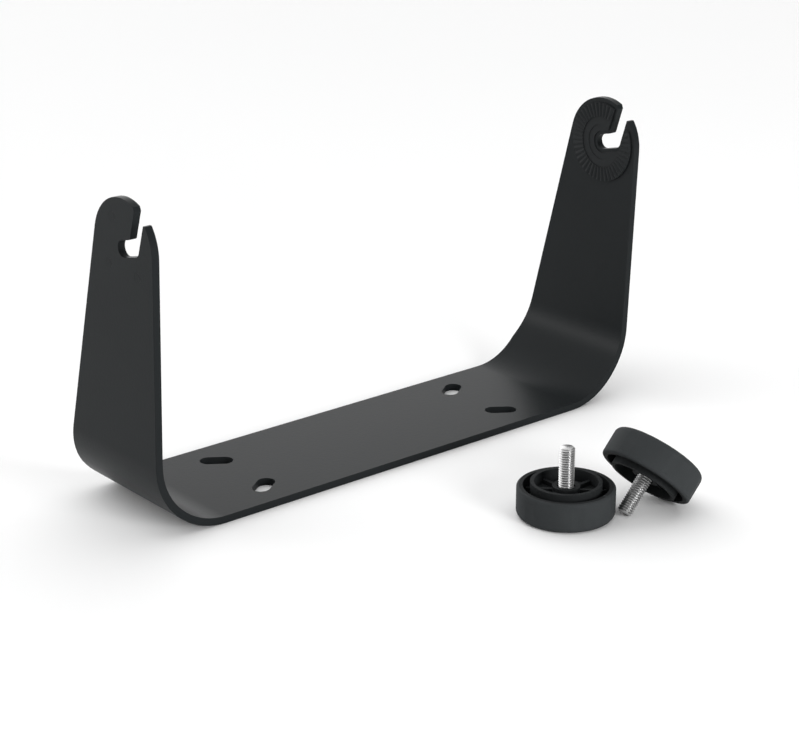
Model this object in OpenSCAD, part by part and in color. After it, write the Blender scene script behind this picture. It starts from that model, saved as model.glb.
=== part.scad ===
// Bail bracket for a marine display, with its two clamping knobs laid beside it.
// Millimetres. X runs along the base, -Y is the front and +Z is up.
// The origin is the middle of the base plate's underside, on the table top.

/* [Bracket] */
// Width over the outside of the two arms
bracket_w = 200; // [160:1:320]
// Depth of the base plate, front to back
base_d = 50; // [46:1:70]
// Thickness of the bent sheet
sheet_t = 2.5; // [2:0.1:4]
// Inside radius of the two bends
bend_r = 22.8; // [12:0.1:30]
// Height at which the arms start to narrow
taper_z = 10.4; // [5:0.1:25]

/* [Arm head] */
// Height of the stud seat above the table
pivot_z = 91.1; // [80:0.1:140]
// How far the stud seat lies in front of the middle of the base
pivot_forward = 12.8; // [4:0.1:14]
// Radius of the rounded head, about the stud seat
head_r = 15.5; // [15:0.1:19]

/* [Hooked slot] */
// Width of the slot that the knob's stud slides along
slot_w = 5.2; // [5.1:0.1:6.5]
// Travel from the foot of the entry slit back and down to the seat
seat_run = 6.2; // [4.5:0.1:7.5]
// Rise of the slot from the seat to the foot of the entry slit, in degrees
seat_rise = 14; // [0:1:20]
// Forward lean of the entry slit from upright, in degrees
slit_lean = 18; // [0:1:22]
// Rounding of the lip that hangs over the stud seat
lip_round = 1; // [0.4:0.1:1.2]
// Length of the flat that takes the sharp corner off the mouth of the slit
mouth_flat = 1.3; // [0.6:0.1:2]
// Flat left on the tip of the finger in front of the slit
finger_tip = 0.9; // [0.4:0.1:2]

/* [Base slots] */
// Width of each screw slot
base_slot_w = 5.8; // [4.5:0.1:8]
// Length of each screw slot, end to end
base_slot_len = 11; // [9:0.1:16]
// Distance between slot centres along the base
base_slot_span_x = 102.8; // [60:0.1:130]
// Distance between slot centres across the base
base_slot_span_y = 26.1; // [20:0.1:28]
// Angle of the slots to the base's length, in degrees
base_slot_turn = 35; // [0:1:45]

/* [Rosette] */
// Radius of the toothed disc on the inside of each arm
rosette_r = 13.8; // [13:0.1:14.6]
// Thickness of the toothed disc
rosette_t = 1; // [0.9:0.1:2.5]
// Number of radial teeth, counted round the full circle
tooth_count = 44; // [24:2:48]
// Radius at which the teeth start
tooth_in_r = 9; // [8:0.1:10]
// Depth of the teeth at the disc's rim
tooth_depth = 0.4; // [0.2:0.05:0.5]
// Flat left on the crest of a tooth, as a share of its pitch
tooth_land = 0.1; // [0.05:0.01:0.3]
// Drop from the crests to the plain ring inside the teeth
ring_drop = 0.45; // [0.3:0.05:0.5]
// Radius of the deeper plain face round the slot
seat_face_r = 6.2; // [5.4:0.1:7.5]
// Drop from the crests to that deeper face
seat_face_drop = 0.65; // [0.5:0.05:0.75]
// How much wider than the sheet's slot the rosette's slot is, on each side
rosette_slot_room = 1.2; // [0.2:0.1:1.4]

/* [Rivets] */
// Diameter of the rivets that hold the rosettes
rivet_d = 2.2; // [1.8:0.1:2.8]
// Diameter of the flush rivet head
rivet_head_d = 3.2; // [2.8:0.1:4]
// Radius of the circle that the rivets stand on
rivet_circle_r = 10.2; // [9.6:0.1:11]
// Angle between neighbouring rivets, in degrees
rivet_spread = 97; // [85:1:100]
// Direction of the middle rivet from straight back, upwards positive, in degrees
rivet_middle = -38; // [-60:1:-30]
// Length of rivet that bites into the rosette
rivet_bite = 0.45; // [0.3:0.05:0.5]
// Room round a rivet in its hole
rivet_room = 0.03; // [0.01:0.01:0.1]

/* [Knob] */
// Radius of the knob
knob_r = 15.6; // [15:0.1:19]
// Height of the knob from its face to its open rim
knob_h = 9.9; // [8.5:0.1:14]
// Rounding of the edge of the face
face_round = 2; // [1:0.1:3]
// Rounding of the open rim
rim_round = 0.8; // [0.3:0.1:0.9]
// Thickness of the outer wall
knob_wall = 2; // [1.8:0.1:2.6]
// Outer radius of the bearing ring inside the knob
ring_r = 11.3; // [10.6:0.1:11.6]
// Thickness of the bearing ring
ring_wall = 1.2; // [1:0.1:2.2]
// How far the bearing ring stands above the open rim
ring_proud = 1.4; // [0.5:0.1:2.5]
// Height of the floor of the groove outside the ring
groove_floor = 3; // [2.6:0.1:5]
// Height of the floor inside the ring
core_floor = 7.3; // [6.8:0.1:8.2]
// Radius of the hub round the stud
hub_r = 4.4; // [4:0.1:5.5]
// Height of the hub
hub_h = 9.9; // [9:0.1:11]
// Number of ribs from the hub to the ring, and of ribs across the groove
rib_count = 8; // [4:1:12]
// Thickness of the ribs
rib_t = 1.2; // [0.8:0.1:1.8]
// Height of the hub's ribs above the floor inside the ring
hub_rib_h = 1.4; // [0.6:0.1:2]
// Height of the groove's ribs above the floor of the groove
groove_rib_h = 3.6; // [1:0.1:5]
// Number of shallow finger scallops round the side
scallop_count = 6; // [4:1:9]
// Depth of a scallop
scallop_depth = 0.25; // [0.1:0.05:0.6]
// Radius of a scallop
scallop_r = 22; // [10:1:60]
// Height of the plain lip between the scallops and the open rim
lip_h = 1.6; // [1:0.1:2.5]

/* [Stud] */
// Diameter of the steel stud
stud_d = 5; // [4.6:0.1:5]
// Diameter of the plain shoulder that the hub grips
stud_shoulder_d = 5.8; // [5.4:0.1:6.4]
// Distance from the knob's face to the tip of the stud
stud_reach = 22.8; // [20:0.1:30]
// Chamfer on the tip of the stud
stud_chamfer = 0.5; // [0.3:0.1:1]
// Width across the flats of the hexagon head moulded into the knob
stud_head_af = 8; // [7:0.5:9]
// Thickness of the hexagon head
stud_head_h = 3.5; // [3:0.1:4]
// Plastic left between the hexagon head and the knob's face
stud_head_cover = 2; // [1.6:0.1:2.4]

/* [Knobs on the table] */
// Place of the upright knob along the base
knob_1_x = 11; // [0:0.1:16]
// Place of the upright knob in front of the middle of the base
knob_1_y = -87.6; // [-95:0.1:-80]
// Gap between the upright knob and the foremost point of the leaning knob's stud
stud_gap = 1.7; // [1.5:0.1:6]
// Direction from the upright knob's middle to that point, in degrees
stud_bearing = -49.7; // [-70:0.1:-45]
// Direction that the leaning knob's stud points in, seen from above, in degrees
knob_2_turn = 181.5; // [178:0.5:190]

/* [Hidden] */
$fn = 96;

// Length by which a cut runs past the faces it opens
past = 1;

// How far a slot's straight walls lie inside its round ends, so that they cross and don't only touch
slot_skim = 0.02;

// Number of flats that round the lip over the stud seat
lip_steps = 4;

half_w = bracket_w / 2;
inner_x = half_w - sheet_t;
bend_out_r = bend_r + sheet_t;
pivot_y = -pivot_forward;
arm_top = pivot_z + head_r;

// Leaning knob: its rim and the tip of its stud both touch the table
stud_r = stud_d / 2;
tip_r = stud_r - stud_chamfer;
lean_a = knob_r - rim_round - tip_r;
lean_b = stud_reach - knob_h + rim_round;
lean = atan2(lean_a, lean_b) + asin(rim_round / norm([lean_a, lean_b]));
knob_2_face_z = tip_r * cos(lean) + stud_reach * sin(lean);
tip_reach = stud_reach * cos(lean) + tip_r * sin(lean);
tip_at = [knob_1_x, knob_1_y] + (knob_r + stud_gap) * [cos(stud_bearing), sin(stud_bearing)];
knob_2_at = tip_at - tip_reach * [cos(knob_2_turn), sin(knob_2_turn)];

// Hooked slot, measured from the stud seat: up first, then back
foot_at = seat_run * [sin(seat_rise), -cos(seat_rise)];
slit_along = [cos(slit_lean), -sin(slit_lean)];
slit_across = [sin(slit_lean), cos(slit_lean)];
function slit_middle(up) = foot_at[1] - (up - foot_at[0]) * tan(slit_lean);
function slit_front(up, width) = slit_middle(up) - width / 2 / cos(slit_lean);
function rim_front(up, radius) = -sqrt(pow(radius, 2) - pow(up, 2));

// Height above the seat at which a finger is as wide as the flat on its tip
function finger_height(width, radius, low, high, steps) =
    let (mid = (low + high) / 2)
    steps == 0 ? mid
    : slit_front(mid, width) - rim_front(mid, radius) > finger_tip
        ? finger_height(width, radius, mid, high, steps - 1)
    : finger_height(width, radius, low, mid, steps - 1);

// Corner of the lip for a slot of the given half width
function lip_corner(half) =
    foot_at + half / (1 + sin(slit_lean + seat_rise)) * ([cos(seat_rise), sin(seat_rise)] + slit_across);

// Corner where the slit's back wall leaves the arm's head
function mouth_corner(half) =
    let (start = foot_at + half * slit_across, way = start * slit_along)
    start + (sqrt(pow(way, 2) - start * start + pow(head_r, 2)) - way) * slit_along;

// Tangent point on the arm's head from a corner of the base, on the given side
function tangent_point(corner, centre, radius, side) =
    let (d = corner - centre, swing = side * acos(radius / norm(d)), a = atan2(d[1], d[0]) + swing)
    centre + radius * [cos(a), sin(a)];

// Places a shape drawn in the seat's own plane, up then back, on the inside of the right arm
module at_right_seat(inward = 0) {
    translate([inner_x - inward, pivot_y, pivot_z]) rotate([0, -90, 0]) children();
}

// Hooked slot: entry slit from the top front, foot, then back and down to the stud seat
module hooked_slot(width) {
    half = width / 2 - slot_skim;
    circle(d = width);
    translate(foot_at) circle(d = width);
    rotate(seat_rise) translate([-half, -seat_run]) square([2 * half, seat_run]);
    translate(foot_at) rotate(-slit_lean) translate([0, -half]) square([2 * head_r, 2 * half]);
    lip_cut(half);
}

// Takes the corner off the lip between the slit and the seat
module lip_cut(half) {
    centre = lip_corner(half + lip_round);
    turn = (90 - slit_lean - seat_rise) / lip_steps;
    arc = [for (k = [0:lip_steps]) centre - lip_round * [cos(seat_rise + k * turn), sin(seat_rise + k * turn)]];
    under = 2 * arc[0] - arc[1];
    beside = 2 * arc[lip_steps] - arc[lip_steps - 1];
    polygon(concat([under], [for (k = [1:lip_steps - 1]) arc[k]], [beside, lip_corner(half / 2)]));
}

// Takes the corner off the head where the slit opens
module mouth_cut(half) {
    corner = mouth_corner(half);
    low = corner - mouth_flat * sin(45) * slit_along;
    high = corner + mouth_flat * sin(45) * [corner[1], -corner[0]] / -norm(corner);
    polygon([2 * low - high, 2 * high - low, 3 * corner - low - high]);
}

// Keeps the finger in front of the slit from running out to a knife edge
module finger_trim(width, radius) {
    rise = finger_height(width, radius, 0, radius, 20);
    translate([rise, -2 * radius]) square([radius, 2 * radius + slit_middle(rise)]);
}

// Front view of the bent sheet
module bent_sheet_profile() {
    difference() {
        trough(half_w, bend_out_r, 0, arm_top + past);
        trough(inner_x, bend_r, sheet_t, arm_top + 2 * past);
    }
}

// Filled U with round lower corners, open at the top
module trough(half, corner_r, floor_z, top_z) {
    translate([-half, floor_z + corner_r]) square([2 * half, top_z - floor_z - corner_r]);
    translate([corner_r - half, floor_z]) square([2 * (half - corner_r), corner_r + past]);
    for (side = [-1, 1]) translate([side * (half - corner_r), floor_z + corner_r]) circle(corner_r);
}

// Everything inside the bracket's side view: straight base, tapering arm and round head
module side_block() {
    centre = [pivot_y, pivot_z];
    front = [-base_d / 2, taper_z];
    back = [base_d / 2, taper_z];
    linear_extrude(2 * bracket_w)
        polygon([[-base_d / 2, -past], front, tangent_point(front, centre, head_r, -1),
                 tangent_point(back, centre, head_r, 1), back, [base_d / 2, -past]]);
    translate([pivot_y, pivot_z, 0]) cylinder(r = head_r, h = 2 * bracket_w);
}

module base_slot() {
    straight = base_slot_len - base_slot_w;
    for (end = [-1, 1]) translate([end * straight / 2, 0]) circle(d = base_slot_w);
    square([straight, base_slot_w], center = true);
}

// One rivet along +Z, with its flush head on the arm's outer face
module rivet(room) {
    cone_r = rivet_head_d / 2 + room;
    shank_r = rivet_d / 2 + room;
    translate([0, 0, -sheet_t]) cylinder(r1 = cone_r, r2 = shank_r, h = cone_r - shank_r);
    translate([0, 0, -sheet_t]) cylinder(r = shank_r, h = sheet_t + rivet_bite);
}

module rivet_ring(room = 0) {
    for (k = [-1:1]) {
        a = rivet_middle + k * rivet_spread;
        translate([rivet_circle_r * sin(a), rivet_circle_r * cos(a), 0]) rivet(room);
    }
}

module bail_bracket() {
    color("#2b2c2e") difference() {
        intersection() {
            translate([0, base_d, 0]) rotate([90, 0, 0]) linear_extrude(2 * base_d) bent_sheet_profile();
            translate([-bracket_w, 0, 0]) rotate([90, 0, 90]) side_block();
        }
        at_right_seat(-sheet_t - past) linear_extrude(bracket_w + 2 * past) {
            hooked_slot(slot_w);
            finger_trim(slot_w, head_r);
            mouth_cut(slot_w / 2 - slot_skim);
        }
        for (sx = [-1, 1], sy = [-1, 1])
            translate([sx * base_slot_span_x / 2, sy * base_slot_span_y / 2, -past])
                rotate(sx * sy * base_slot_turn) linear_extrude(sheet_t + 2 * past) base_slot();
        at_right_seat() rivet_ring(rivet_room);
        mirror([1, 0, 0]) at_right_seat() rivet_ring(rivet_room);
    }
}

// Stepped disc before its teeth are cut
module rosette_blank() {
    rotate_extrude() {
        square([seat_face_r, rosette_t - seat_face_drop]);
        translate([seat_face_r, 0]) square([tooth_in_r - seat_face_r, rosette_t - ring_drop]);
        translate([tooth_in_r, 0]) square([rosette_r - tooth_in_r, rosette_t]);
    }
}

// V-shaped groove between two teeth: it starts at the centre of the disc and deepens outwards
module tooth_groove() {
    half_pitch = 180 * rosette_r / tooth_count * PI / 180;
    flare = half_pitch * (1 - tooth_land) / tooth_depth;
    clear_h = 2 * tooth_depth;
    run_in = tooth_in_r - past;
    translate([0, 0, rosette_t]) rotate([0, atan(tooth_depth / rosette_r), 0]) translate([run_in, 0, 0])
        rotate([90, 0, 90]) linear_extrude(rosette_r + past - run_in)
            polygon([[0, 0], [flare * clear_h, clear_h], [-flare * clear_h, clear_h]]);
}

module rosette() {
    difference() {
        rosette_blank();
        for (k = [0:tooth_count - 1]) rotate(k * 360 / tooth_count) tooth_groove();
        translate([0, 0, -past]) linear_extrude(rosette_t + 2 * past) {
            hooked_slot(slot_w + 2 * rosette_slot_room);
            finger_trim(slot_w + 2 * rosette_slot_room, rosette_r);
        }
        rivet_ring(rivet_room);
    }
}

module right_rosette() {
    color("#242527") at_right_seat() rosette();
}

module left_rosette() {
    color("#242527") mirror([1, 0, 0]) at_right_seat() rosette();
}

module right_rivets() {
    color("#303134") at_right_seat() rivet_ring();
}

module left_rivets() {
    color("#303134") mirror([1, 0, 0]) at_right_seat() rivet_ring();
}

// Half section of the knob: rounded cup, bearing ring, floor and hub
module knob_section() {
    ring_in_r = ring_r - ring_wall;
    groove_out_r = knob_r - knob_wall;
    difference() {
        rounded_half_section();
        translate([0, core_floor]) square([ring_in_r, knob_h]);
        translate([ring_r, groove_floor]) square([groove_out_r - ring_r, knob_h]);
    }
    translate([ring_in_r, 0]) square([ring_wall, knob_h + ring_proud]);
    square([hub_r, hub_h]);
}

module rounded_half_section() {
    square([knob_r - face_round, knob_h]);
    translate([0, face_round]) square([knob_r, knob_h - face_round - rim_round]);
    translate([0, knob_h / 2]) square([knob_r - rim_round, knob_h / 2]);
    translate([knob_r - face_round, face_round]) circle(face_round);
    translate([knob_r - rim_round, knob_h - rim_round]) circle(rim_round);
}

// Radial rib that reaches a little way into what it joins
module rib(from_r, to_r, floor_z, height) {
    root = 0.4;
    translate([from_r - root, -rib_t / 2, floor_z - root])
        cube([to_r - from_r + 2 * root, rib_t, height + root]);
}

module knob() {
    difference() {
        union() {
            rotate_extrude() knob_section();
            for (k = [0:rib_count - 1]) rotate(k * 360 / rib_count) {
                rib(hub_r, ring_r - ring_wall, core_floor, hub_rib_h);
                rotate(180 / rib_count) rib(ring_r, knob_r - knob_wall, groove_floor, groove_rib_h);
            }
        }
        for (k = [0:scallop_count - 1]) rotate(k * 360 / scallop_count)
            translate([knob_r + scallop_r - scallop_depth, 0, -past])
                cylinder(r = scallop_r, h = knob_h - lip_h + past);
        stud();
    }
}

// Steel stud with a hexagon head and a shoulder that are moulded into the knob
module stud() {
    translate([0, 0, stud_head_cover]) cylinder(d = stud_head_af / cos(30), h = stud_head_h, $fn = 6);
    translate([0, 0, stud_head_cover]) cylinder(d = stud_shoulder_d, h = hub_h - stud_head_cover);
    translate([0, 0, hub_h]) cylinder(r = stud_r, h = stud_reach - stud_chamfer - hub_h);
    translate([0, 0, stud_reach - stud_chamfer]) cylinder(r1 = stud_r, r2 = tip_r, h = stud_chamfer);
}

module upright_on_table() {
    translate([knob_1_x, knob_1_y, 0]) children();
}

module leaning_on_table() {
    translate([knob_2_at[0], knob_2_at[1], knob_2_face_z]) rotate([0, 90 + lean, knob_2_turn]) children();
}

module knob_1() {
    color("#37383a") upright_on_table() knob();
}

module knob_1_stud() {
    color("#b9bbbd") upright_on_table() stud();
}

module knob_2() {
    color("#37383a") leaning_on_table() knob();
}

module knob_2_stud() {
    color("#b9bbbd") leaning_on_table() stud();
}

bail_bracket();
left_rosette();
right_rosette();
left_rivets();
right_rivets();
knob_1();
knob_1_stud();
knob_2();
knob_2_stud();
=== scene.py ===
# %% [markdown]
# # A bail bracket for a boat's display, with its two clamping knobs
# A bail is a bent sheet with two arms. A display hangs between the arms, and a knob on each side
# clamps it at the tilt that its owner wants. Here the bracket stands empty on a white table, and
# the two knobs lie in front of it.
#
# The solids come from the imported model, which is loaded first and never moved. This lesson gives
# them their finish, softens their edges and cuts the studs' threads. The sizes of knobs and studs
# repeat named values of that model, in metres.

# %% Load the fixed frame
import math

import bmesh
import bpy
from mathutils import Matrix, Vector


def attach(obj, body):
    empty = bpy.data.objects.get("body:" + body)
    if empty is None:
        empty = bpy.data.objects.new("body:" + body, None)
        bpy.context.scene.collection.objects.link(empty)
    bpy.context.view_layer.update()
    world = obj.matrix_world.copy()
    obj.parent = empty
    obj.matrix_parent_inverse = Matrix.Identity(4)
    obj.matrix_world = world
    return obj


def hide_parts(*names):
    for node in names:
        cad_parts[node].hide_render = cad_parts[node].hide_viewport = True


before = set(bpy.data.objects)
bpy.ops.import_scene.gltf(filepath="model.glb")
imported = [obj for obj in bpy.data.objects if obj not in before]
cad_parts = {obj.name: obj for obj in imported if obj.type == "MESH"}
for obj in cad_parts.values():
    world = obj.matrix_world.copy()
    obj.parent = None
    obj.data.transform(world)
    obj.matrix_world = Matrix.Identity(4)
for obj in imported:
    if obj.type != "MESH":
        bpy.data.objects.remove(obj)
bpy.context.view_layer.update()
MM = 0.001


def show(thing):
    bpy.context.scene.collection.objects.link(thing)
    return thing


# %% [markdown]
# ## Writing node maths as Python
# A finish is a small program of nodes. They could be added and wired one by one, but that hides
# the formula. So one class wraps an output socket and gives it the usual operators, and each
# expression adds its own Math nodes. A second class holds a tree, and its one method `node` makes
# any node: first the settings, then the values or links of its inputs. The finishes, the sky and
# the studs' geometry all share these two classes.

# %% A socket with operators, and a tree that makes nodes
class Value:
    def __init__(self, nodes, socket):
        self.nodes, self.socket = nodes, socket

    def __add__(self, other):
        return self.nodes.maths("ADD", self, other)

    def __sub__(self, other):
        return self.nodes.maths("SUBTRACT", self, other)

    def __rsub__(self, other):
        return self.nodes.maths("SUBTRACT", other, self)

    def __mul__(self, other):
        return self.nodes.maths("MULTIPLY", self, other)

    def __truediv__(self, other):
        return self.nodes.maths("DIVIDE", self, other)

    def __rtruediv__(self, other):
        return self.nodes.maths("DIVIDE", other, self)

    def __lt__(self, other):
        return self.nodes.maths("LESS_THAN", self, other)

    def __gt__(self, other):
        return self.nodes.maths("GREATER_THAN", self, other)

    __radd__, __rmul__ = __add__, __mul__


class Nodes:
    def __init__(self, tree):
        self.tree = tree

    def node(self, kind, settings=None, inputs=None, out=0):
        made = self.tree.nodes.new(kind)
        for key, value in (settings or {}).items():
            setattr(made, key, value)
        self.feed(made, inputs or {})
        return Value(self, made.outputs[out])

    def feed(self, made, inputs):
        for key, value in inputs.items():
            if isinstance(value, Value):
                self.tree.links.new(value.socket, made.inputs[key])
            else:
                made.inputs[key].default_value = value

    def maths(self, operation, *inputs):
        return self.node("ShaderNodeMath", {"operation": operation}, dict(enumerate(inputs)))

    def along(self, vector, axis):
        return self.node("ShaderNodeSeparateXYZ", None, {0: vector}, out=axis)


print("node helpers ready")

# %% [markdown]
# ## What every finish needs
# No real surface has one even tone, so each finish varies a little from place to place. The
# variation could be painted on a picture. A noise on Object coordinates needs no picture, has its
# cells in real sizes and stays with the piece when the piece moves, so that is used. A finish can
# also be slightly cool: a little less red than green, and a little more blue.

# %% A finish, and the greys that it mixes
MIX_SHARE, MIX_LOW, MIX_HIGH, MIX_COLOUR = 0, 6, 7, 2
BLUE_SHARE = 0.5


class Finish(Nodes):
    def __init__(self, name):
        self.material = bpy.data.materials.new(name)
        self.material.use_nodes = True
        super().__init__(self.material.node_tree)

    def noise(self, cells_per_m, detail=2.0, roughness=0.5):
        place = self.node("ShaderNodeTexCoord", out="Object")
        return self.node("ShaderNodeTexNoise", None,
                         {"Vector": place, "Scale": cells_per_m, "Detail": detail,
                          "Roughness": roughness})

    def mix(self, share, low, high):
        return self.node("ShaderNodeMix", {"data_type": "RGBA"},
                         {MIX_SHARE: share, MIX_LOW: low, MIX_HIGH: high}, out=MIX_COLOUR)

    def bump(self, height, strength, depth_m):
        return self.node("ShaderNodeBump", None,
                         {"Height": height, "Strength": strength, "Distance": depth_m})

    def surface(self, **inputs):
        shader = self.tree.nodes["Principled BSDF"]
        self.feed(shader, {key.replace("_", " "): value for key, value in inputs.items()})
        return self.material


def grey(level, cool=0.0):
    return (level * (1 - cool), level, level * (1 + cool * BLUE_SHARE), 1)


print("finish helpers ready")

# %% [markdown]
# ## The powder coat
# The bracket is coated with a black powder that is baked on. It flows out into a satin skin with a
# faint orange peel. One flat black would look like card, so three noises are used: a coarse one
# shifts the tone from place to place, a fine one breaks up the gloss, and a third gives the skin
# its tiny waves.

# %% Make the powder coat
COAT_COOL, COAT_MIRROR = 0.12, 0.05
COAT_TONE_RANGE, SPECK_IN_TONE = 0.2, 0.4
SPECK_IN_GLOSS, DRIFT_IN_GLOSS = 0.08, 0.04
SPECK_IN_PEEL, PEEL_STRENGTH, PEEL_DEPTH = 0.35, 0.35, 0.06 * MM


def powder_coat(name, level, rough):
    f = Finish(name)
    drift = f.noise(cells_per_m=22)
    speck = f.noise(cells_per_m=2600, detail=3, roughness=0.6)
    peel = f.noise(cells_per_m=950)
    tone = f.mix(drift * (1 - SPECK_IN_TONE) + speck * SPECK_IN_TONE,
                 grey(level * (1 - COAT_TONE_RANGE), COAT_COOL),
                 grey(level * (1 + COAT_TONE_RANGE), COAT_COOL))
    smoothest = rough - (SPECK_IN_GLOSS + DRIFT_IN_GLOSS) / 2
    return f.surface(Base_Color=tone, Specular_IOR_Level=COAT_MIRROR,
                     Roughness=smoothest + speck * SPECK_IN_GLOSS + drift * DRIFT_IN_GLOSS,
                     Normal=f.bump(peel + speck * SPECK_IN_PEEL, PEEL_STRENGTH, PEEL_DEPTH))


coat = powder_coat("powder_coat", level=0.016, rough=0.35)
rivet_coat = powder_coat("rivet_coat", level=0.0148, rough=0.33)
print("made", coat.name, "and", rivet_coat.name)

# %% [markdown]
# ## The moulded plastics
# The rosettes and the knobs are moulded. A mould for such parts is often spark-eroded, which leaves
# an even, very fine grain, so the grain is one fine noise. The knobs are handled, so their tone and
# gloss wander more than the rosettes' do, by a second, coarser noise. The knobs' hollow inside gets
# a darker plastic of its own, which is painted shade.

# %% Make the moulded plastics
PLASTIC_COOL, PLASTIC_MIRROR = 0.08, 0.04
PLASTIC_DARKEST, PLASTIC_LIGHTEST = 0.82, 1.2
SMOOTHEST_BY, GRAIN_IN_GLOSS, WEAR_IN_GLOSS = 0.07, 0.08, 0.12
GRAIN_STRENGTH, GRAIN_DEPTH = 0.3, 0.05 * MM


def moulded_plastic(name, level, rough, handled):
    f = Finish(name)
    grain = f.noise(cells_per_m=3400, roughness=0.55)
    wear = f.noise(cells_per_m=130, detail=3, roughness=0.6)
    tone = f.mix(wear * handled + grain * (1 - handled),
                 grey(level * PLASTIC_DARKEST, PLASTIC_COOL),
                 grey(level * PLASTIC_LIGHTEST, PLASTIC_COOL))
    gloss = rough - SMOOTHEST_BY + grain * GRAIN_IN_GLOSS + wear * (WEAR_IN_GLOSS * handled)
    return f.surface(Base_Color=tone, Roughness=gloss, Specular_IOR_Level=PLASTIC_MIRROR,
                     Normal=f.bump(grain, GRAIN_STRENGTH, GRAIN_DEPTH))


rosette_plastic = moulded_plastic("rosette_plastic", level=0.022, rough=0.55, handled=0.3)
knob_plastic = moulded_plastic("knob_plastic", level=0.038, rough=0.62, handled=0.6)
# The darker plastic for the knobs' hollow is painted shade.
knob_inside = moulded_plastic("knob_inside", level=0.02, rough=0.62, handled=0.3)
print("made", rosette_plastic.name + ",", knob_plastic.name, "and", knob_inside.name)

# %% [markdown]
# ## The studs' steel
# The steel is lighter on the thread's crests and darker in its roots. A striped texture could
# imitate that, but it would have to guess where the helix lies. The thread's mesh carries an
# attribute called crest, from 0 in a root to 1 on a crest, and the steel reads it.

# %% Make the steel
ROOT_TONE, CREST_TONE = 0.26, 0.66
ROOT_ROUGH, CREST_SMOOTHER = 0.42, 0.14
SMEAR_IN_TONE, SMEAR_STRENGTH, SMEAR_DEPTH = 0.25, 0.15, 0.04 * MM


def thread_steel(name):
    f = Finish(name)
    crest = f.node("ShaderNodeAttribute", {"attribute_name": "crest"}, out="Fac")
    smear = f.noise(cells_per_m=700, detail=3, roughness=0.6)
    share = crest * (1 - SMEAR_IN_TONE) + smear * SMEAR_IN_TONE
    tone = f.mix(share, grey(ROOT_TONE), grey(CREST_TONE))
    return f.surface(Base_Color=tone, Metallic=1.0, Roughness=ROOT_ROUGH - share * CREST_SMOOTHER,
                     Normal=f.bump(smear, SMEAR_STRENGTH, SMEAR_DEPTH))


steel = thread_steel("stud_steel")
print("made", steel.name)

# %% [markdown]
# ## From a mesh to a piece
# Two things are done to every new piece. A modifier's result is turned into a plain mesh, because
# the export takes plain meshes. Then the mesh gets its material, rides on its body and takes the
# place of the solid that it was made from.

# %% Bake a modifier, and dress a piece
CREASE = math.radians(50)


def baked(holder, name):
    result = holder.evaluated_get(bpy.context.evaluated_depsgraph_get())
    mesh = bpy.data.meshes.new_from_object(result)
    holder.modifiers.clear()
    bpy.data.objects.remove(holder)
    mesh.name = name
    return mesh


def smooth(mesh):
    mesh.shade_smooth()
    mesh.set_sharp_from_angle(angle=CREASE)


def dress(name, mesh, material, body, node):
    mesh.materials.clear()
    mesh.materials.append(material)
    piece = show(bpy.data.objects.new(name, mesh))
    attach(piece, body)
    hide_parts(node)
    print(name, len(mesh.polygons), "faces on", body)
    return piece


print("piece helpers ready")

# %% [markdown]
# ## Softening a solid's edges
# The solids are exact, but their edges are razor sharp, and no real edge is: the coat flows round a
# cut sheet, and a mould has a small radius everywhere. A Bevel modifier could do it, but the solid's
# mesh is loose triangles. So a copy is merged first, its flat faces are joined, and only its sharp
# edges are bevelled. Weighted normals then keep the large faces looking flat.

# %% A softened copy of a solid
WELD = 2e-6
SAME_PLANE, SHARP = math.radians(0.3), math.radians(28)
ROUND_PROFILE = 0.5
FLAT_FACE_WEIGHT = 100


def softened_copy(node, name, width, steps, material, body):
    work = bmesh.new()
    work.from_mesh(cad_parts[node].data)
    bmesh.ops.remove_doubles(work, verts=work.verts, dist=WELD)
    bmesh.ops.dissolve_limit(work, angle_limit=SAME_PLANE, verts=work.verts, edges=work.edges)
    edges = [e for e in work.edges if len(e.link_faces) == 2 and e.calc_face_angle() > SHARP]
    bmesh.ops.bevel(work, geom=edges, offset=width, offset_type="OFFSET", segments=steps,
                    profile=ROUND_PROFILE, affect="EDGES", clamp_overlap=True)
    mesh = bpy.data.meshes.new(name)
    work.to_mesh(mesh)
    work.free()
    smooth(mesh)
    return dress(name, flat_faces_first(mesh), material, body, node)


def flat_faces_first(mesh):
    holder = show(bpy.data.objects.new("holder", mesh))
    even = holder.modifiers.new("even", "WEIGHTED_NORMAL")
    even.mode, even.weight, even.keep_sharp = "FACE_AREA", FLAT_FACE_WEIGHT, True
    return baked(holder, mesh.name)


print("edges turn sharp past", round(math.degrees(SHARP)), "degrees")

# %% [markdown]
# ## The bracket, its rosettes and its rivets
# The bracket gets the coat's rounded edges. The toothed rosettes are already full of small faces and
# keep their solids, as the flush rivets do: a bevel would only blur them, so they only get their
# finish.

# %% Dress the bracket
BRACKET_EDGE, BRACKET_STEPS = 0.45 * MM, 3


def finish_node(node, material):
    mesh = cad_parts[node].data
    mesh.materials.clear()
    mesh.materials.append(material)
    print(node, "wears", material.name)


softened_copy("bail_bracket", "coated_bracket", BRACKET_EDGE, BRACKET_STEPS, coat, "bracket")
for side in ("left", "right"):
    finish_node(side + "_rosette", rosette_plastic)
    finish_node(side + "_rivets", rivet_coat)

# %% [markdown]
# ## Where the two knobs lie
# The upright knob stands on its face. The other leans on its rim and on the tip of its stud. Its
# lean could be set by eye, but it follows from the sizes: the line that touches both the rounded rim
# and the tip is the table. The tip lies a small gap away from the upright knob's side, and the
# leaning knob is placed from there.

# %% Work out the knobs' places
KNOB_R, KNOB_H, RIM_ROUND = 15.6 * MM, 9.9 * MM, 0.8 * MM
THREAD_R, CHAMFER, REACH = 2.5 * MM, 0.5 * MM, 22.8 * MM
TIP_R = THREAD_R - CHAMFER
UPRIGHT_AT = Vector((11 * MM, -87.6 * MM, 0))
TIP_GAP, TIP_BEARING, HEADING = 1.7 * MM, math.radians(-49.7), math.radians(181.5)


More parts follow.
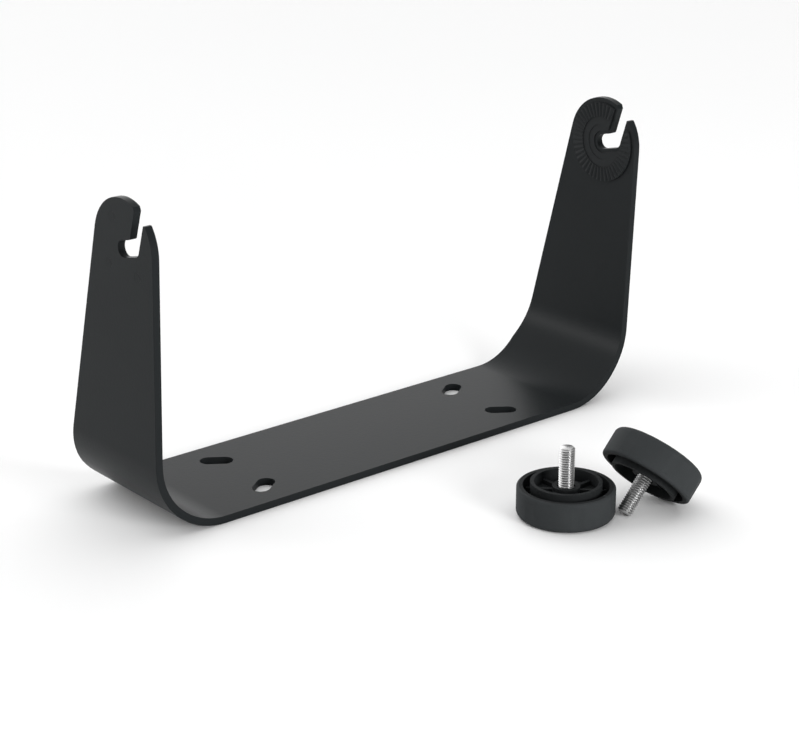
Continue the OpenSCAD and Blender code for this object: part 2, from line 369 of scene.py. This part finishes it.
def level_way(angle):
    return Vector((math.cos(angle), math.sin(angle), 0))


across, along = KNOB_R - RIM_ROUND - TIP_R, REACH - KNOB_H + RIM_ROUND
lean = math.atan2(across, along) + math.asin(RIM_ROUND / math.hypot(across, along))
face_z = TIP_R * math.cos(lean) + REACH * math.sin(lean)
tip_reach = REACH * math.cos(lean) + TIP_R * math.sin(lean)
tip_at = UPRIGHT_AT + (KNOB_R + TIP_GAP) * level_way(TIP_BEARING)
leaning_at = tip_at - tip_reach * level_way(HEADING) + Vector((0, 0, face_z))
upright = Matrix.Translation(UPRIGHT_AT)
leaning = (Matrix.Translation(leaning_at) @ Matrix.Rotation(HEADING, 4, "Z")
           @ Matrix.Rotation(math.pi / 2 + lean, 4, "Y"))
print("the loose knob leans", round(math.degrees(lean), 2), "degrees")

# %% [markdown]
# ## The knobs
# A knob is one moulding round its stud, with a bearing ring, a hub and ribs on its open side. The
# solid has all of them, so the knob too is a softened copy. Its inside is darkened with painted
# shade. This could be a second piece, but the moulding is one, so its inner faces only get the
# second material. They are picked by place, seen from the knob's own axis: near enough to it, and
# above the floor.

# %% Dress the knobs
KNOB_EDGE, KNOB_STEPS = 0.2 * MM, 2
INSIDE_R, INSIDE_FLOOR = 13.7 * MM, 2.2 * MM


# The faces in the knob's hollow get the darker plastic: painted shade.
def paint_shade_inside(mesh, place):
    mesh.materials.append(knob_inside)
    back = place.inverted()
    count = 0
    for face in mesh.polygons:
        spot = back @ face.center
        if math.hypot(spot.x, spot.y) < INSIDE_R and spot.z > INSIDE_FLOOR:
            face.material_index = 1
            count += 1
    print("inside faces:", count)


for node, place in (("knob_1", upright), ("knob_2", leaning)):
    knob = softened_copy(node, "moulded_" + node, KNOB_EDGE, KNOB_STEPS, knob_plastic, node)
    paint_shade_inside(knob.data, place)

# %% [markdown]
# ## A geometry tree with named sizes
# The studs are made by Geometry Nodes, because a thread follows one rule. This tree has one named
# input for each size of the stud. A modifier finds an input by its identifier and not by its name,
# so the tree keeps a list of them.

# %% The stud's sizes and an empty tree for them
STUD_SIZES = {
    "Thread radius": THREAD_R,
    "Pitch": 0.8 * MM,
    "Thread depth": 0.43 * MM,
    "Foot": 2.0 * MM,
    "Head top": 5.5 * MM,
    "Head half flats": 4.0 * MM,
    "Shoulder top": 9.0 * MM,
    "Shoulder radius": 2.9 * MM,
    "Tip": REACH,
    "Chamfer": CHAMFER,
    "Step": 0.1 * MM,
}


class SizedTree(Nodes):
    def __init__(self, name, sizes):
        super().__init__(bpy.data.node_groups.new(name, "GeometryNodeTree"))
        for way in ("INPUT", "OUTPUT"):
            self.socket("Geometry", way, "NodeSocketGeometry")
        self.end = self.tree.nodes.new("NodeGroupOutput")
        start = self.tree.nodes.new("NodeGroupInput")
        self.inputs, self.size = {}, {}
        for label, value in sizes.items():
            socket = self.socket(label, "INPUT", "NodeSocketFloat")
            socket.default_value = value
            self.inputs[label] = socket.identifier
            self.size[label] = Value(self, start.outputs[label])

    def socket(self, label, way, kind):
        return self.tree.interface.new_socket(label, in_out=way, socket_type=kind)


stud_nodes = SizedTree("threaded_stud", STUD_SIZES)
print("stud tree takes", list(stud_nodes.inputs))

# %% [markdown]
# ## The rule for the stud's radius
# At every height and angle the thread's radius depends on how far that point is along the helix. A
# ridge could be wound on a core, but then the two would cut through each other. Here the radius
# itself rises and falls: a triangle wave along the helix, made a little steeper and cut off at both
# ends, so that crests and roots are flat. Below the thread, the same radius becomes the plain
# shoulder and then the hexagon of the buried head.

# %% The radius at a height and a turn
FLANK_GAIN, ROOT_CUT = 1.3, 0.12
HEX_SIDES = 6


def thread_crest(t, turn, height):
    phase = t.maths("FRACT", height / t.size["Pitch"] - turn)
    wave = t.maths("ABSOLUTE", phase * 2 - 1) * FLANK_GAIN - ROOT_CUT
    return t.maths("MINIMUM", t.maths("MAXIMUM", wave, 0.0), 1.0)


def stud_radius(t, turn, height, crest):
    ridge = t.size["Thread radius"] - t.size["Thread depth"] * (1 - crest)
    tip_cone = t.size["Thread radius"] - t.size["Chamfer"] + t.size["Tip"] - height
    threaded = t.maths("MINIMUM", ridge, tip_cone)
    sector = t.maths("FRACT", turn * HEX_SIDES + 0.5) - 0.5
    hexagon = t.size["Head half flats"] / t.maths("COSINE", sector * (math.tau / HEX_SIDES))
    in_shoulder = height < t.size["Shoulder top"]
    in_head = height < t.size["Head top"]
    radius = threaded + in_shoulder * (t.size["Shoulder radius"] - threaded)
    return radius + in_head * (hexagon - radius)


print("a head with", HEX_SIDES, "sides under a thread of", STUD_SIZES["Pitch"] / MM, "mm pitch")

# %% [markdown]
# ## Rolling a grid into a stud
# A flat grid has one side for the turn and one for the height. Its points are moved to the radius
# that the rule gives, which rolls it up. One more row at each end has no radius, so it closes the
# stud, and the seam is merged.

# %% A tree that rolls a grid into a stud
POINTS_AROUND = 61
SEAM = 1e-6


def roll_up(t, steel_finish):
    foot, tip, step = t.size["Foot"], t.size["Tip"], t.size["Step"]
    length = tip - foot + 2 * step
    rows = t.node("FunctionNodeFloatToInt", None, {0: length / step + 1})
    grid = t.node("GeometryNodeMeshGrid", None, {"Size X": 1.0, "Size Y": length,
                                                 "Vertices X": POINTS_AROUND, "Vertices Y": rows})
    spot = t.node("GeometryNodeInputPosition")
    turn = t.along(spot, "X") + 0.5
    raw = t.along(spot, "Y") + length * 0.5 + foot - step
    height = t.maths("MINIMUM", t.maths("MAXIMUM", raw, foot), tip)
    crest = thread_crest(t, turn, height)
    not_an_end = (raw < tip + step * 0.5) * (raw > foot - step * 0.5)
    radius = stud_radius(t, turn, height, crest) * not_an_end
    angle = turn * math.tau
    place = t.node("ShaderNodeCombineXYZ", None, {"X": radius * t.maths("COSINE", angle),
                                                  "Y": radius * t.maths("SINE", angle),
                                                  "Z": height})
    marked = t.node("GeometryNodeStoreNamedAttribute", {"data_type": "FLOAT", "domain": "POINT"},
                    {"Geometry": grid, "Name": "crest", "Value": crest})
    rolled = t.node("GeometryNodeSetPosition", None, {"Geometry": marked, "Position": place})
    closed = t.node("GeometryNodeMergeByDistance", None, {"Geometry": rolled, "Distance": SEAM})
    real = t.node("GeometryNodeRealizeInstances", None, {"Geometry": closed})
    done = t.node("GeometryNodeSetMaterial", None, {"Geometry": real, "Material": steel_finish})
    t.feed(t.end, {"Geometry": done})


roll_up(stud_nodes, steel)
print("stud tree has", len(stud_nodes.tree.nodes), "nodes")

# %% [markdown]
# ## The threaded studs
# Each knob has one stud, and both are the same. The tree makes it upright at the origin, and the
# mesh is then moved to its knob, because a finished piece keeps its place in its mesh. Rolling can
# turn a surface inside out, so the faces are made to point outwards.

# %% Make the studs
def threaded_stud(name, place, body, node):
    seed = show(bpy.data.objects.new(name + "_seed", bpy.data.meshes.new(name + "_seed")))
    maker = seed.modifiers.new("stud", "NODES")
    maker.node_group = stud_nodes.tree
    for label, value in STUD_SIZES.items():
        maker[stud_nodes.inputs[label]] = value
    made = baked(seed, name)
    made.transform(place)
    work = bmesh.new()
    work.from_mesh(made)
    bmesh.ops.recalc_face_normals(work, faces=work.faces)
    work.to_mesh(made)
    work.free()
    smooth(made)
    return dress(name, made, steel, body, node)


threaded_stud("upright_stud", upright, "knob_1", "knob_1_stud")
threaded_stud("leaning_stud", leaning, "knob_2", "knob_2_stud")

# %% [markdown]
# ## The table
# The table is white and nearly blown out, so it is one wide pale plane that reaches past the
# camera's view. It belongs to the stage and not to the object.

# %% Set the table
TABLE_HALF = 6.0
TABLE_DARKEST, TABLE_LIGHTEST = 0.95, 0.97


def white_table():
    corners = [(x * TABLE_HALF, y * TABLE_HALF, 0) for x, y in ((-1, -1), (1, -1), (1, 1), (-1, 1))]
    mesh = bpy.data.meshes.new("table")
    mesh.from_pydata(corners, [], [(0, 1, 2, 3)])
    table = show(bpy.data.objects.new("table", mesh))
    f = Finish("white_table")
    tone = f.mix(f.noise(cells_per_m=3, detail=1), grey(TABLE_DARKEST), grey(TABLE_LIGHTEST))
    mesh.materials.append(f.surface(Base_Color=tone, Roughness=0.8, Specular_IOR_Level=0.2))


white_table()
print("table is", 2 * TABLE_HALF, "m wide")

# %% [markdown]
# ## The sky
# A satin black coat shows little of its own colour: what is seen is mostly what it mirrors. An even
# sky would leave it flat, so this one changes with direction. It is dark in front and at the sides,
# bright overhead, and brightest low down behind, where the base plate mirrors it at a low angle.

# %% Make the sky
OVERHEAD_PULL, BACKWARD_PULL = 0.9, 0.45
BACK_STARTS = 0.1
LOW_BAND, HIGH_BAND = 0.3, 0.85


def fade(nodes, value, span, levels):
    return nodes.node("ShaderNodeMapRange", {"interpolation_type": "SMOOTHSTEP"},
                      {"Value": value, "From Min": span[0], "From Max": span[1],
                       "To Min": levels[0], "To Max": levels[1]})


def sky(low, top, back):
    world = bpy.data.worlds.new("studio")
    bpy.context.scene.world = world
    world.use_nodes = True
    n = Nodes(world.node_tree)
    way = n.node("ShaderNodeTexCoord", out="Generated")
    rise, depth = n.along(way, "Z"), n.along(way, "Y")
    over = fade(n, rise * OVERHEAD_PULL + depth * BACKWARD_PULL, (0.0, 1.0), (low, top))
    behind = fade(n, depth, (BACK_STARTS, 1.0), (0.0, back))
    near_floor = fade(n, rise, (LOW_BAND, HIGH_BAND), (1.0, 0.0))
    n.feed(n.tree.nodes["Background"], {"Color": grey(1), "Strength": over + behind * near_floor})
    print(world.name, "sky from", low, "to", top, "and", back, "more behind")


sky(low=0.08, top=1.16, back=1.65)

# %% [markdown]
# ## The lamps
# Two lamps add what the sky can't. One in front lights the knobs' sides and the cut edges. One far
# behind on the left is seen as a mirror image: the pale band where the right arm starts to bend. A
# small lamp would draw hard lines on a satin coat, so both are wide discs.

# %% Hang the lamps
def lamp(name, place, aim, size, watts):
    data = bpy.data.lights.new(name, "AREA")
    data.shape, data.size, data.energy = "DISK", size, watts
    light = show(bpy.data.objects.new(name, data))
    light.location = place
    light.rotation_euler = facing(place, aim)
    print(name, "at", place)


def facing(place, aim):
    return (Vector(aim) - Vector(place)).to_track_quat("-Z", "Y").to_euler()


lamp("front", place=(0.05, -1.1, 0.28), aim=(0, -0.05, 0.03), size=0.5, watts=9)
lamp("backdrop", place=(-0.9, 0.9, 0.14), aim=(0.09, 0, 0.03), size=0.4, watts=4)

# %% [markdown]
# ## The camera
# The camera stands where the photograph was taken from. Its place and lens were solved from the
# bracket's straight edges, bends, arm heads and base slots. The Standard view leaves the black and
# the white as they are, where a filmic one would grey them.

# %% Camera at the photograph's place
CAMERA_AT = Vector((-423.5, -528, 277.6)) * MM
CAMERA_AIM = Vector((16.24, 0, 22.13)) * MM
SENSOR_MM, FOCAL_MM = 36, 96.87
lens = bpy.data.cameras.new("camera")
lens.sensor_width, lens.lens = SENSOR_MM, FOCAL_MM
camera = show(bpy.data.objects.new("camera", lens))
camera.location = CAMERA_AT
camera.rotation_euler = facing(CAMERA_AT, CAMERA_AIM)
bpy.context.scene.camera = camera
bpy.context.scene.view_settings.view_transform = "Standard"
print("camera", round((CAMERA_AIM - CAMERA_AT).length, 3), "m away")
